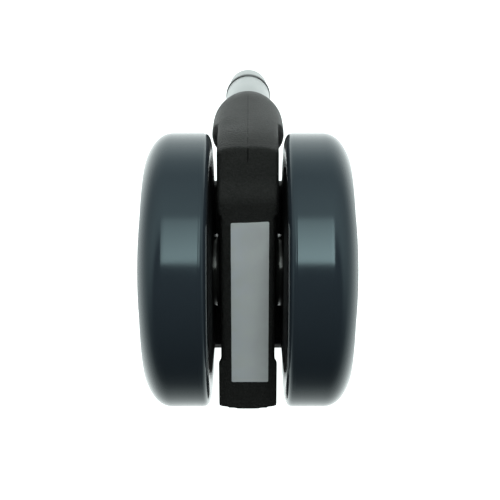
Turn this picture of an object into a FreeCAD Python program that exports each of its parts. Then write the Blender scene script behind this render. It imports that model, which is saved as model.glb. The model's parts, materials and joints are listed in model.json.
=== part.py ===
"""Twin-wheel swivel chair caster with a grip-ring stem, in millimetres.

The stem stands on +Z, and the origin is on its axis, level with the top of the boss.
The two wheels turn on an axle along X, which trails the stem towards +Y.
Side outlines are given as (forward, up) from the axle's centre: forward is towards the
stem, which is -Y, and up is +Z.
"""
import FreeCAD, Part

import math
import os

from FreeCAD import Vector

# ---- overall sizes ----
WHEEL_RADIUS = 30.0
TRAIL = 22.0                # axle behind the stem's axis
SEAT_RISE = 9.0             # top of the boss above the wheels' tops
STEM_RADIUS = 5.5
STEM_LENGTH = 23.0          # tip above the top of the boss

# ---- clearances ----
RUNNING_FIT = 0.04          # radial, shafts in their bushes
END_PLAY = 0.10             # between faces that turn on each other
BODY_GAP = 0.35             # thread guard to wheel

# ---- stem and what holds it ----
GROOVE_TO_TIP = 8.1         # lower edge of the grip ring's groove below the tip
GROOVE_WIDTH = 2.0
GROOVE_DEPTH = 1.1
HEAD_RADIUS = 4.95
HEAD_ROUND = 0.9
RING_PROUD = 0.18           # grip ring beyond the shank
RING_SLOT = 2.4
JOURNAL_RADIUS = 4.0
SOCKET_DEPTH = 26.0
BUSH_WALL = 1.0
THRUST_DISC_THICKNESS = 1.2
CLIP_THICKNESS = 1.0
CLIP_GROOVE_DEPTH = 0.8
CLIP_SLOT = 3.0
BELOW_CLIP = 2.0            # stem between its clip groove and its rounded end

# ---- swivel body ----
ARM_WALL = 1.46             # beside the stem's socket, where it is thinnest
ARM_STEP = 1.8              # the boss's sides beyond those of the arm under it
WEB_STEP = 0.65             # the web between the wheels is this much thinner each side
BOSS_FRONT_WALL = 3.46      # ahead of the socket
BOSS_TOP_WALL = 0.91        # round the socket's mouth
BOSS_DOME_HEIGHT = 10.5
DOME_TOP_PULL = 0.9         # how far out the dome aims just under its top
DOME_TOP_DROP = 0.8
DOME_SHOULDER_DEPTH = 6.5   # where the dome aims on its way to full width
ROUND_SECTION = 2.0         # exponent of the column's section where it is round
DOME_SECTION = 2.5          # squarer at the foot of the dome
NOSE_SECTION = 4.0          # nearly flat in front at the nose
SECTION_POINTS = 32
SMOOTH_DEGREE = 3
ARM_CORNER = 0.8
EDGE_ROUND = 1.0
BROW_UP = 9.0               # lower end of the upright front face, above the axle
NOSE_CURVE = ((3.5, 0.3), (-1.0, 1.0), (-4.5, 1.9), (-9.0, 2.9))   # (up, setback) poles
NOSE_UP = -1.5              # where the underside starts
NOSE_SETBACK = 1.4          # behind the front of the boss
CHIN_SETBACK = 8.0
CHIN_UP = -3.9
CHIN_EASE = 1.4             # how far from the chin and the keel their curves start
KEEL_SETBACK = 10.5         # front end of the flat underside
KEEL_UP = -6.6
KEEL_SLOPE = 0.157          # the underside drops towards the tail
TAIL_STEP = 0.5             # the tail's lip beyond the web, each side
TAIL_START = 16.7           # behind the axle
TAIL_PROUD = 1.0            # tail beyond the wheels' radius
TAIL_CROWN = 0.75
TAIL_HEIGHT = 1.4
HOOD_GAP = 2.0
HOOD_THICKNESS = 2.4
HOOD_HALF = 20.5
HOOD_FRONT = 78.0           # degrees above forward, about the axle
HOOD_REAR = 153.0
HOOD_CORNER = 6.0
SPIGOT_RADIUS = 8.0         # hub that stands out of the web round the axle
SPIGOT_HALF = 8.5

# ---- thread guards ----
GUARD_RADIUS = 22.7
GUARD_THICKNESS = 1.35
GUARD_FLAT_RADIUS = 17.8
GUARD_LIP = 0.2

# ---- axle and wheel hubs ----
AXLE_RADIUS = 4.0
AXLE_CHAMFER = 0.6
WASHER_THICKNESS = 0.55
WASHER_RADIUS = 7.0
HUB_LENGTH = 8.5
HUB_WALL = 3.0
CIRCLIP_THICKNESS = 0.8
CIRCLIP_RADIUS = 6.8
CIRCLIP_GROOVE_DEPTH = 0.6
CIRCLIP_SLOT = 4.6
AXLE_BEYOND_CLIP = 1.2

# ---- wheels ----
RIM_RADIUS = 25.0           # core under the tread
RIM_WALL = 3.8
RIM_WIDTH = 11.3
DISC_THICKNESS = 2.2
RIM_BEVEL_DEPTH = 2.4
RIM_BEVEL_WIDTH = 1.7
RIB_COUNT = 8
RIB_THICKNESS = 1.6
RIB_DEPTH = 5.0
KEY_COUNT = 3               # ridges that lock the tread on its core
KEY_HEIGHT = 0.8
KEY_WIDTH = 1.2
TREAD_WIDTH = 13.54
TREAD_BULGE = 1.19          # inner shoulder beyond the core's inner face
TREAD_FLAT = 6.55
INNER_SHOULDER = 1.64
SHOULDER_DROP = 3.1         # widest point of the inner side below the running band
SIDE_PULL = (0.55, 0.9)     # how the inner side's curve leaves the core: along X, outwards
SIDE_TOP_PULL = 1.2
SHOULDER_PULL = (0.95, 2.2)     # inner shoulder's curve: along the band, down the side
OUTER_PULL = (2.9, 0.9, 2.6)    # outer shoulder's curve: along the band, then in and up
COVER_RADIUS = 24.7
COVER_WALL = 1.6
COVER_EDGE_BELOW_PEAK = 2.5
COVER_BEYOND_RIM = 3.6
COVER_SKIRT = 1.2
COVER_SKIRT_DEPTH = 3.6
SKIRT_GAP = 0.1
COVER_GROOVE_RADIUS = 15.4
COVER_GROOVE_WIDTH = 0.9
COVER_GROOVE_FLOOR = 0.4
COVER_GROOVE_DEPTH = 0.4
COVER_DISH_RADIUS = 8.2
COVER_DISH_DEPTH = 0.5
COVER_DISH_SLOPE = 0.7

# ---- blank label ----
LABEL_LENGTH = 36.2
LABEL_WIDTH = 8.0
LABEL_THICKNESS = 0.25
LABEL_SETBACK = 5.15        # behind the front end of the flat underside
LABEL_SIDE = 0.45

# ---- for building ----
NEAR = 0.01                 # how close an edge lies to the plane that picks it
OVERLAP = 0.5               # how far pieces that are fused or cut run into each other

# ---- worked out ----
SEAT_UP = WHEEL_RADIUS + SEAT_RISE
AXLE_CENTRE = Vector(0, TRAIL, -SEAT_UP)
ALONG_X = Vector(1, 0, 0)
ALONG_Z = Vector(0, 0, 1)
SOCKET_RADIUS = JOURNAL_RADIUS + RUNNING_FIT + BUSH_WALL
ARM_HALF = SOCKET_RADIUS + ARM_WALL
WEB_HALF = ARM_HALF - WEB_STEP
BOSS_HALF = ARM_HALF + ARM_STEP
BOSS_FRONT = SOCKET_RADIUS + BOSS_FRONT_WALL
BOSS_TOP_RADIUS = SOCKET_RADIUS + BOSS_TOP_WALL
FRONT = TRAIL + BOSS_FRONT
KEEL_FORWARD = FRONT - KEEL_SETBACK
FAR = 3 * WHEEL_RADIUS
HUB_INNER = SPIGOT_HALF + WASHER_THICKNESS + END_PLAY
HUB_OUTER = HUB_INNER + HUB_LENGTH
BUSH_RADIUS = AXLE_RADIUS + RUNNING_FIT + BUSH_WALL
RIM_OUTER = HUB_INNER + RIM_WIDTH
RIM_INSIDE = RIM_RADIUS - RIM_WALL
DISC_OUTER = HUB_INNER + DISC_THICKNESS
CIRCLIP_INNER = HUB_OUTER + END_PLAY
CIRCLIP_OUTER = CIRCLIP_INNER + CIRCLIP_THICKNESS
AXLE_HALF = CIRCLIP_OUTER + AXLE_BEYOND_CLIP
COVER_PEAK = RIM_OUTER + COVER_BEYOND_RIM
THRUST_TOP = THRUST_DISC_THICKNESS - SOCKET_DEPTH
STEM_END = THRUST_TOP + END_PLAY
CLIP_GROOVE_BASE = STEM_END + BELOW_CLIP
CLIP_GROOVE_TOP = CLIP_GROOVE_BASE + CLIP_THICKNESS + 2 * END_PLAY
HOOD_INNER = WHEEL_RADIUS + HOOD_GAP
HOOD_OUTER = HOOD_INNER + HOOD_THICKNESS
HOOD_MIDDLE = (HOOD_INNER + HOOD_OUTER) / 2


def side_point(forward, up, x=0.0):
    """A point from its place forward of and above the axle."""
    return Vector(x, TRAIL - forward, up - SEAT_UP)


def polar(radius, degrees):
    """(forward, up) of a point at an angle above forward, about the axle."""
    angle = math.radians(degrees)
    return radius * math.cos(angle), radius * math.sin(angle)


def closed_face(points):
    """Flat face inside straight edges through the points."""
    return Part.Face(Part.makePolygon(list(points) + [points[0]]))


def face_of(edges):
    return Part.Face(Part.Wire(edges))


def turned_on_stem(profile):
    """Solid of revolution about the stem's axis from (radius, height) points."""
    face = closed_face([Vector(radius, 0, height) for radius, height in profile])
    return face.revolve(Vector(0, 0, 0), ALONG_Z, 360)


def on_axle(x, radius):
    return AXLE_CENTRE + Vector(x, 0, radius)


def turned_on_axle(profile):
    """Solid of revolution about the axle from (x, radius) points."""
    face = closed_face([on_axle(x, radius) for x, radius in profile])
    return face.revolve(AXLE_CENTRE, ALONG_X, 360)


def tube_on_axle(inner, outer, start, end):
    return turned_on_axle([(start, inner), (end, inner), (end, outer), (start, outer)])


def tube_on_stem(inner, outer, bottom, top):
    return turned_on_stem([(inner, bottom), (outer, bottom), (outer, top), (inner, top)])


def disc_on_axle(radius, half):
    return Part.makeCylinder(radius, 2 * half, AXLE_CENTRE - ALONG_X * half, ALONG_X)


def slab(edges, half):
    """The side outline made 2 * half thick, astride the middle plane."""
    face = face_of(edges)
    face.translate(Vector(-half, 0, 0))
    return face.extrude(Vector(2 * half, 0, 0))


def line(start, end):
    return Part.LineSegment(side_point(*start), side_point(*end)).toShape()


def lines(points):
    """Straight edges from each point to the next."""
    return [Part.LineSegment(a, b).toShape() for a, b in zip(points, points[1:])]


def curve(*poles):
    """Smooth edge from the first pole to the last, aimed at those between."""
    bezier = Part.BezierCurve()
    bezier.setPoles(poles)
    return bezier.toShape()


def toward(start, end, distance):
    return start + (end - start) * (distance / start.distanceToPoint(end))


def eased_lines(points):
    """Straight edges whose inner corners are eased by curves."""
    edges = []
    start = points[0]
    for corner, after in zip(points[1:], points[2:]):
        bend_start = toward(corner, start, CHIN_EASE)
        bend_end = toward(corner, after, CHIN_EASE)
        edges += lines([start, bend_start]) + [curve(bend_start, corner, bend_end)]
        start = bend_end
    return edges + lines([start, points[-1]])


def arc_about_axle(radius, first, last):
    """Arc about the axle between two angles above forward."""
    middle = (first + last) / 2
    ends = [side_point(*polar(radius, a)) for a in (first, middle, last)]
    return Part.Arc(*ends).toShape()


def rounded(shape, radius, wanted):
    """Fillet on the edges that the test picks."""
    return shape.makeFillet(radius, [edge for edge in shape.Edges if wanted(edge)])


def mirrored(shape):
    return shape.mirror(Vector(0, 0, 0), ALONG_X)


# ---- stem ----

def stem():
    """Shank with the grip ring's groove, and the journal that turns in the body."""
    tip = STEM_LENGTH
    groove = tip - GROOVE_TO_TIP
    shoulder = END_PLAY
    core = JOURNAL_RADIUS - CLIP_GROOVE_DEPTH
    profile = [
        (0, STEM_END),
        (core - HEAD_ROUND, STEM_END),
        (core, STEM_END + HEAD_ROUND),
        (JOURNAL_RADIUS, STEM_END + HEAD_ROUND + CLIP_GROOVE_DEPTH),
        (JOURNAL_RADIUS, CLIP_GROOVE_BASE),
        (core, CLIP_GROOVE_BASE),
        (core, CLIP_GROOVE_TOP),
        (JOURNAL_RADIUS, CLIP_GROOVE_TOP),
        (JOURNAL_RADIUS, shoulder),
        (STEM_RADIUS, shoulder),
        (STEM_RADIUS, groove),
        (STEM_RADIUS - GROOVE_DEPTH, groove),
        (STEM_RADIUS - GROOVE_DEPTH, groove + GROOVE_WIDTH),
        (HEAD_RADIUS, groove + GROOVE_WIDTH),
        (HEAD_RADIUS, tip),
        (0, tip),
    ]
    shape = turned_on_stem(profile)
    return rounded(shape, HEAD_ROUND, lambda e: e.BoundBox.ZMin > tip - NEAR and e.Closed)


def grip_ring():
    """Split spring ring that snaps into the chair's socket."""
    groove = STEM_LENGTH - GROOVE_TO_TIP
    bottom = groove + END_PLAY
    top = groove + GROOVE_WIDTH - END_PLAY
    inner = STEM_RADIUS - GROOVE_DEPTH + END_PLAY
    outer = STEM_RADIUS + RING_PROUD
    bevel = outer - HEAD_RADIUS
    ring = turned_on_stem([(inner, bottom), (outer, bottom), (outer, top - bevel),
                           (outer - bevel, top), (inner, top)])
    slot = Part.makeBox(RING_SLOT, 2 * outer, GROOVE_WIDTH * 2,
                        Vector(-RING_SLOT / 2, 0, groove - GROOVE_WIDTH / 2))
    return ring.cut(slot)


# ---- what holds the stem in the body ----

def stem_bush():
    bottom = CLIP_GROOVE_TOP
    return tube_on_stem(JOURNAL_RADIUS + RUNNING_FIT, SOCKET_RADIUS, bottom, 0)


def stem_clip():
    """Split ring that is caught in the body and runs in the stem's lower groove."""
    bottom = CLIP_GROOVE_BASE + END_PLAY
    top = bottom + CLIP_THICKNESS
    inner = JOURNAL_RADIUS - CLIP_GROOVE_DEPTH + RUNNING_FIT
    ring = tube_on_stem(inner, SOCKET_RADIUS, bottom, top)
    slot = Part.makeBox(CLIP_SLOT, 2 * SOCKET_RADIUS, 3 * CLIP_THICKNESS,
                        Vector(-CLIP_SLOT / 2, 0, bottom - CLIP_THICKNESS))
    return ring.cut(slot)


def thrust_disc():
    return Part.makeCylinder(SOCKET_RADIUS, THRUST_DISC_THICKNESS, Vector(0, 0, -SOCKET_DEPTH))


# ---- swivel body ----

def keel_up(forward):
    """Height of the flat underside."""
    return KEEL_UP + KEEL_SLOPE * (forward - KEEL_FORWARD)


def keel_end(radius):
    """Where the underside meets that radius about the axle, at the rear."""
    offset = keel_up(0)
    a = 1 + KEEL_SLOPE ** 2
    b = 2 * KEEL_SLOPE * offset
    c = offset ** 2 - radius ** 2
    forward = (-b - math.sqrt(b * b - 4 * a * c)) / (2 * a)
    return forward, keel_up(forward)


def underside():
    """Points on the side outline where the nose, chin and keel turn, as (forward, up)."""
    nose = (FRONT - NOSE_SETBACK, NOSE_UP)
    chin = (FRONT - CHIN_SETBACK, CHIN_UP)
    keel = (KEEL_FORWARD, KEEL_UP)
    return nose, chin, keel


def web():
    """Plate between the wheels, from inside the boss round under the axle to the hood."""
    rear = WHEEL_RADIUS + TAIL_PROUD - TAIL_CROWN
    hood_front = polar(HOOD_MIDDLE, HOOD_FRONT)
    hood_rear = polar(HOOD_MIDDLE, HOOD_REAR)
    rear_top = polar(rear, HOOD_REAR)
    inside = TRAIL
    keel = KEEL_FORWARD - 2 * CHIN_EASE
    end = keel_end(rear)
    end_angle = math.degrees(math.atan2(end[1], end[0])) % 360
    return [
        line(hood_front, (inside, hood_front[1])),
        line((inside, hood_front[1]), (inside, 0)),
        line((inside, 0), (keel, keel_up(keel))),
        line((keel, keel_up(keel)), end),
        arc_about_axle(rear, end_angle, HOOD_REAR),
        line(rear_top, hood_rear),
        arc_about_axle(HOOD_MIDDLE, HOOD_REAR, HOOD_FRONT),
    ]


def arm_side():
    """Side outline that trims the column between the wheels; it runs out past the front."""
    nose, chin, keel = underside()
    slope = (nose[1] - chin[1]) / (nose[0] - chin[0])
    ahead = (FRONT + OVERLAP, nose[1] + slope * (NOSE_SETBACK + OVERLAP))
    back = TRAIL - BOSS_HALF - OVERLAP
    corners = [ahead, chin, keel, (back, keel_up(back))]
    points = [side_point(*corner) for corner in corners]
    top = [side_point(back, HOOD_OUTER), side_point(ahead[0], HOOD_OUTER)]
    return eased_lines(points) + lines([points[-1]] + top + [points[0]])


def keel_edges(plate, half):
    """Rounds the long edges of a slab's underside, and those of its chin."""
    def wanted(edge):
        middle = edge.CenterOfMass
        on_side = abs(abs(middle.x) - half) < NEAR
        ahead_of_tail = middle.y < TRAIL + TAIL_START
        return on_side and middle.z < NOSE_UP - SEAT_UP and ahead_of_tail
    return rounded(plate, EDGE_ROUND, wanted)


def section_poles(height, front, half, exponent):
    """Poles of a closed curve round the stem's axis: round behind, squarer in front."""
    points = []
    for number in range(SECTION_POINTS):
        angle = math.pi + 2 * math.pi * number / SECTION_POINTS
        across = math.sin(angle)
        ahead = math.cos(angle)
        reach, power = (front, exponent) if ahead > 0 else (half, ROUND_SECTION)
        size = (abs(across / half) ** power + abs(ahead / reach) ** power) ** (-1 / power)
        points.append(Vector(size * across, -size * ahead, height))
    return points


def column():
    """Boss and arm front in one smooth surface, from the dome down past the nose."""
    brow = BROW_UP - SEAT_UP
    foot = -BOSS_DOME_HEIGHT
    neck = BOSS_TOP_RADIUS + DOME_TOP_PULL
    sections = [
        (0, BOSS_TOP_RADIUS, BOSS_TOP_RADIUS, ROUND_SECTION),
        (-DOME_TOP_DROP, neck, neck, ROUND_SECTION),
        (-DOME_SHOULDER_DEPTH, BOSS_FRONT, BOSS_HALF, ROUND_SECTION),
        (foot, BOSS_FRONT, BOSS_HALF, DOME_SECTION),
        ((foot + brow) / 2, BOSS_FRONT, BOSS_HALF, (DOME_SECTION + NOSE_SECTION) / 2),
        (brow, BOSS_FRONT, BOSS_HALF, NOSE_SECTION),
    ]
    for up, setback in NOSE_CURVE:
        sections.append((up - SEAT_UP, BOSS_FRONT - setback, BOSS_HALF, NOSE_SECTION))
    spans = len(sections) - SMOOTH_DEGREE
    ends = SMOOTH_DEGREE + 1
    surface = Part.BSplineSurface()
    surface.buildFromPolesMultsKnots(
        [section_poles(*section) for section in sections],
        [ends] + [1] * (spans - 1) + [ends], [1] * (SECTION_POINTS + 1),
        list(range(spans + 1)), list(range(SECTION_POINTS + 1)), False, True,
        SMOOTH_DEGREE, SMOOTH_DEGREE)
    side = surface.toShape()
    rims = [edge for edge in side.Edges if edge.BoundBox.ZLength < NEAR]
    caps = [Part.Face(Part.Wire([rim])) for rim in rims]
    shell = Part.Shell([side] + caps)
    shell.sewShape()
    return Part.Solid(shell)


def boss_and_arm():
    """The column, thinned to the arm where it passes between the wheels."""
    plate = keel_edges(slab(arm_side(), ARM_HALF), ARM_HALF)
    below_brow = Part.makeBox(2 * FAR, FAR, FAR, side_point(FAR, BROW_UP - FAR, -FAR))
    beside = disc_on_axle(HOOD_INNER, FAR).fuse(below_brow).cut(plate)
    shape = column().cut(beside)

    def front_corner(edge):
        box = edge.BoundBox
        ahead = box.Center.y < -SOCKET_RADIUS / 2
        upright = abs(box.Center.x) > WEB_HALF and box.ZLength > ARM_HALF
        across = abs(box.Center.x) < NEAR and box.ZMax < NOSE_UP - SEAT_UP + OVERLAP
        return ahead and (upright or across)
    return rounded(shape, ARM_CORNER, front_corner)


def hood():
    """Curved roof over the wheels, with rounded corners and edges."""
    edges = [
        arc_about_axle(HOOD_OUTER, HOOD_FRONT, HOOD_REAR),
        line(polar(HOOD_OUTER, HOOD_REAR), polar(HOOD_INNER, HOOD_REAR)),
        arc_about_axle(HOOD_INNER, HOOD_REAR, HOOD_FRONT),
        line(polar(HOOD_INNER, HOOD_FRONT), polar(HOOD_OUTER, HOOD_FRONT)),
    ]
    roof = slab(edges, HOOD_HALF)

    def corner(edge):
        at_side = abs(abs(edge.CenterOfMass.x) - HOOD_HALF) < NEAR
        return at_side and edge.Length < HOOD_THICKNESS + NEAR
    return rounded(roof, HOOD_CORNER, corner)


def tail():
    """Wider lip at the rear of the underside, with bevelled front corners."""
    end = keel_end(WHEEL_RADIUS + TAIL_PROUD)
    half = WEB_HALF + TAIL_STEP
    corner = end[0] + TAIL_CROWN

    def point(forward, x):
        return side_point(forward, keel_up(forward), x)
    ends = [(-TAIL_START + TAIL_STEP, WEB_HALF), (-TAIL_START, half), (corner, half)]
    right = [point(forward, x) for forward, x in ends]
    left = [point(forward, -x) for forward, x in ends]
    rear = Part.Arc(right[2], point(end[0], 0), left[2]).toShape()
    corners = [left[2], left[1], left[0], right[0], right[1], right[2]]
    return face_of(lines(corners) + [rear]).extrude(ALONG_Z * TAIL_HEIGHT)


def housing_body():
    """One moulding: boss, arm, web, hood, tail and axle spigots, with its two bores."""
    shape = keel_edges(slab(web(), WEB_HALF), WEB_HALF)
    for piece in (boss_and_arm(), hood(), tail(), disc_on_axle(SPIGOT_RADIUS, SPIGOT_HALF)):
        shape = shape.fuse(piece)
    shape = shape.removeSplitter()
    socket = Part.makeCylinder(SOCKET_RADIUS, SOCKET_DEPTH + OVERLAP,
                               Vector(0, 0, -SOCKET_DEPTH))
    return shape.cut(socket).cut(disc_on_axle(AXLE_RADIUS, SPIGOT_HALF + OVERLAP))


def label():
    """Blank rectangular label on the underside."""
    tilt = math.atan(KEEL_SLOPE)
    front = KEEL_FORWARD - LABEL_SETBACK
    back = front - LABEL_LENGTH * math.cos(tilt)
    half = LABEL_WIDTH / 2
    corners = [(front, LABEL_SIDE - half), (front, LABEL_SIDE + half),
               (back, LABEL_SIDE + half), (back, LABEL_SIDE - half)]
    face = closed_face([side_point(forward, keel_up(forward), x) for forward, x in corners])
    down = Vector(0, -math.sin(tilt), -math.cos(tilt)) * LABEL_THICKNESS
    return face.extrude(down)


# ---- axle and what is on it ----

def axle():
    """Pin through the body, with a groove for a retaining clip near each end."""
    pin = disc_on_axle(AXLE_RADIUS, AXLE_HALF)
    pin = pin.makeChamfer(AXLE_CHAMFER, [e for e in pin.Edges if e.Closed])
    groove = tube_on_axle(AXLE_RADIUS - CIRCLIP_GROOVE_DEPTH, AXLE_RADIUS + OVERLAP,
                          CIRCLIP_INNER, CIRCLIP_OUTER)
    return pin.cut(groove).cut(mirrored(groove))


def axle_clip():
    """Open retaining clip outside the wheel's hub."""
    ring = tube_on_axle(AXLE_RADIUS - CIRCLIP_GROOVE_DEPTH, CIRCLIP_RADIUS,
                        CIRCLIP_INNER, CIRCLIP_OUTER)
    slot = Part.makeBox(3 * CIRCLIP_THICKNESS, CIRCLIP_SLOT, 2 * CIRCLIP_RADIUS,
                        AXLE_CENTRE + Vector(CIRCLIP_INNER - CIRCLIP_THICKNESS,
                                             -CIRCLIP_SLOT / 2, 0))
    return ring.cut(slot)


def thread_guard():
    """Dished disc on the spigot that keeps threads out of the hub."""
    face = HUB_INNER - BODY_GAP
    back = face - GUARD_THICKNESS
    middle = (face + back) / 2
    return turned_on_axle([
        (back, SPIGOT_RADIUS), (face, SPIGOT_RADIUS), (face, GUARD_FLAT_RADIUS),
        (middle + GUARD_LIP / 2, GUARD_RADIUS), (middle - GUARD_LIP / 2, GUARD_RADIUS),
        (back, GUARD_FLAT_RADIUS)])


def hub_washer():
    return tube_on_axle(AXLE_RADIUS + RUNNING_FIT, WASHER_RADIUS,
                        SPIGOT_HALF, SPIGOT_HALF + WASHER_THICKNESS)


def wheel_bush():
    return tube_on_axle(AXLE_RADIUS + RUNNING_FIT, BUSH_RADIUS, HUB_INNER, HUB_OUTER)


# ---- wheels ----

def tread_keys():
    """Ridges round the core that the tread is moulded over."""
    start = HUB_INNER + RIM_BEVEL_WIDTH
    spacing = (RIM_OUTER - start) / (KEY_COUNT + 1)
    keys = []
    for number in range(1, KEY_COUNT + 1):
        side = start + number * spacing - KEY_WIDTH / 2
        keys.append(tube_on_axle(RIM_RADIUS - OVERLAP, RIM_RADIUS + KEY_HEIGHT,
                                 side, side + KEY_WIDTH))
    return keys


def wheel_core():
    """Hub, disc and rim in one, with ribs on the outer side of the disc."""
    hub_radius = BUSH_RADIUS + HUB_WALL
    shape = turned_on_axle([
        (HUB_INNER, BUSH_RADIUS), (HUB_OUTER, BUSH_RADIUS), (HUB_OUTER, hub_radius),
        (DISC_OUTER, hub_radius), (DISC_OUTER, RIM_INSIDE), (RIM_OUTER, RIM_INSIDE),
        (RIM_OUTER, RIM_RADIUS), (HUB_INNER + RIM_BEVEL_WIDTH, RIM_RADIUS),
        (HUB_INNER, RIM_RADIUS - RIM_BEVEL_DEPTH)])
    for key in tread_keys():
        shape = shape.fuse(key)
    length = RIM_INSIDE - hub_radius + 2 * OVERLAP
    for number in range(RIB_COUNT):
        rib = Part.makeBox(RIB_DEPTH, RIB_THICKNESS, length,
                           Vector(DISC_OUTER, -RIB_THICKNESS / 2, hub_radius - OVERLAP))
        rib.rotate(Vector(0, 0, 0), ALONG_X, number * 360 / RIB_COUNT)
        rib.translate(AXLE_CENTRE)
        shape = shape.fuse(rib)
    return shape.removeSplitter()


def tread():
    """Soft tyre: rounded inner shoulder, flat running band and a fuller outer shoulder."""
    inner = HUB_INNER - TREAD_BULGE
    flat_start = inner + INNER_SHOULDER
    flat_end = flat_start + TREAD_FLAT
    outer = inner + TREAD_WIDTH
    start = on_axle(HUB_INNER, RIM_RADIUS - RIM_BEVEL_DEPTH)
    bulge = on_axle(inner, WHEEL_RADIUS - SHOULDER_DROP)
    crown_in = on_axle(flat_start, WHEEL_RADIUS)
    crown_out = on_axle(flat_end, WHEEL_RADIUS)
    lip = on_axle(outer, RIM_RADIUS)
    rim_out = on_axle(RIM_OUTER, RIM_RADIUS)
    rim_in = on_axle(HUB_INNER + RIM_BEVEL_WIDTH, RIM_RADIUS)
    side = curve(start, on_axle(HUB_INNER - SIDE_PULL[0], RIM_RADIUS - SIDE_PULL[1]),
                 bulge - ALONG_Z * SIDE_TOP_PULL, bulge)
    shoulder_in = curve(bulge, bulge + ALONG_Z * SHOULDER_PULL[1],
                        crown_in - ALONG_X * SHOULDER_PULL[0], crown_in)
    shoulder_out = curve(crown_out, crown_out + ALONG_X * OUTER_PULL[0],
                         lip + Vector(-OUTER_PULL[1], 0, OUTER_PULL[2]), lip)
    band = lines([crown_in, crown_out])
    inside = lines([lip, rim_out, rim_in, start])
    face = face_of([side, shoulder_in] + band + [shoulder_out] + inside)
    shape = face.revolve(AXLE_CENTRE, ALONG_X, 360)
    for key in tread_keys():
        shape = shape.cut(key)
    return shape


def dome_point(radius, depth=0.0):
    """A point on the cover's domed face, or that far inside it."""
    edge = COVER_PEAK - COVER_EDGE_BELOW_PEAK
    rise = COVER_EDGE_BELOW_PEAK * (1 - (radius / COVER_RADIUS) ** 2)
    return on_axle(edge + rise - depth, radius)


def dome_arc(first, last, depth=0.0):
    middle = (first + last) / 2
    return Part.Arc(*[dome_point(radius, depth) for radius in (first, middle, last)]).toShape()


def wheel_cover():
    """Domed outer disc with a snap skirt, a ring groove and a shallow dish."""
    groove_out = COVER_GROOVE_RADIUS + COVER_GROOVE_WIDTH / 2
    groove_in = COVER_GROOVE_RADIUS - COVER_GROOVE_WIDTH / 2
    floor_out = COVER_GROOVE_RADIUS + COVER_GROOVE_FLOOR / 2
    floor_in = COVER_GROOVE_RADIUS - COVER_GROOVE_FLOOR / 2
    groove = lines([dome_point(groove_out), dome_point(floor_out, COVER_GROOVE_DEPTH),
                    dome_point(floor_in, COVER_GROOVE_DEPTH), dome_point(groove_in)])
    dish_edge = dome_point(COVER_DISH_RADIUS, COVER_DISH_DEPTH)
    dish = dish_edge - ALONG_Z * COVER_DISH_SLOPE
    dish_centre = Vector(dish.x, TRAIL, -SEAT_UP)
    inside_centre = dish_centre - ALONG_X * COVER_WALL
    inside_edge = Vector(inside_centre.x, TRAIL, dish_edge.z)
    skirt_out = RIM_INSIDE - SKIRT_GAP
    skirt_in = skirt_out - COVER_SKIRT
    skirt_end = RIM_OUTER - COVER_SKIRT_DEPTH
    back = lines([dome_point(COVER_DISH_RADIUS), dish, dish_centre, inside_centre,
                  inside_edge, dome_point(skirt_in, COVER_WALL), on_axle(skirt_end, skirt_in),
                  on_axle(skirt_end, skirt_out), on_axle(RIM_OUTER, skirt_out),
                  on_axle(RIM_OUTER, COVER_RADIUS), dome_point(COVER_RADIUS)])
    face = face_of([dome_arc(COVER_RADIUS, groove_out)] + groove
                   + [dome_arc(groove_in, COVER_DISH_RADIUS)] + back)
    return face.revolve(AXLE_CENTRE, ALONG_X, 360)


def main():
    os.makedirs("parts", exist_ok=True)
    parts = {
        "stem": stem(),
        "grip_ring": grip_ring(),
        "stem_bush": stem_bush(),
        "stem_clip": stem_clip(),
        "thrust_disc": thrust_disc(),
        "swivel_body": housing_body(),
        "underside_label": label(),
        "axle": axle(),
    }
    pairs = {
        "thread_guard": thread_guard,
        "hub_washer": hub_washer,
        "axle_clip": axle_clip,
        "wheel_bush": wheel_bush,
        "wheel_core": wheel_core,
        "tread": tread,
        "wheel_cover": wheel_cover,
    }
    for name, make in pairs.items():
        shape = make()
        parts[name + "_right"] = shape
        parts[name + "_left"] = mirrored(shape)
    for name, shape in parts.items():
        solids = shape.Solids
        if len(solids) != 1 or not solids[0].isValid():
            raise ValueError(f"{name}: {len(solids)} solids, valid {shape.isValid()}")
        solids[0].exportStep(f"parts/{name}.step")
        print(f"{name:20s} {solids[0].Volume:10.1f} mm3")


main()
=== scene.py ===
"""Looks of the swivel twin-wheel chair caster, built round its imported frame.

Blender's units are metres. The piece sizes named here are in millimetres and go through
MM; the distances of the camera and the floor are in metres.
"""
import json
import math

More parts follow.
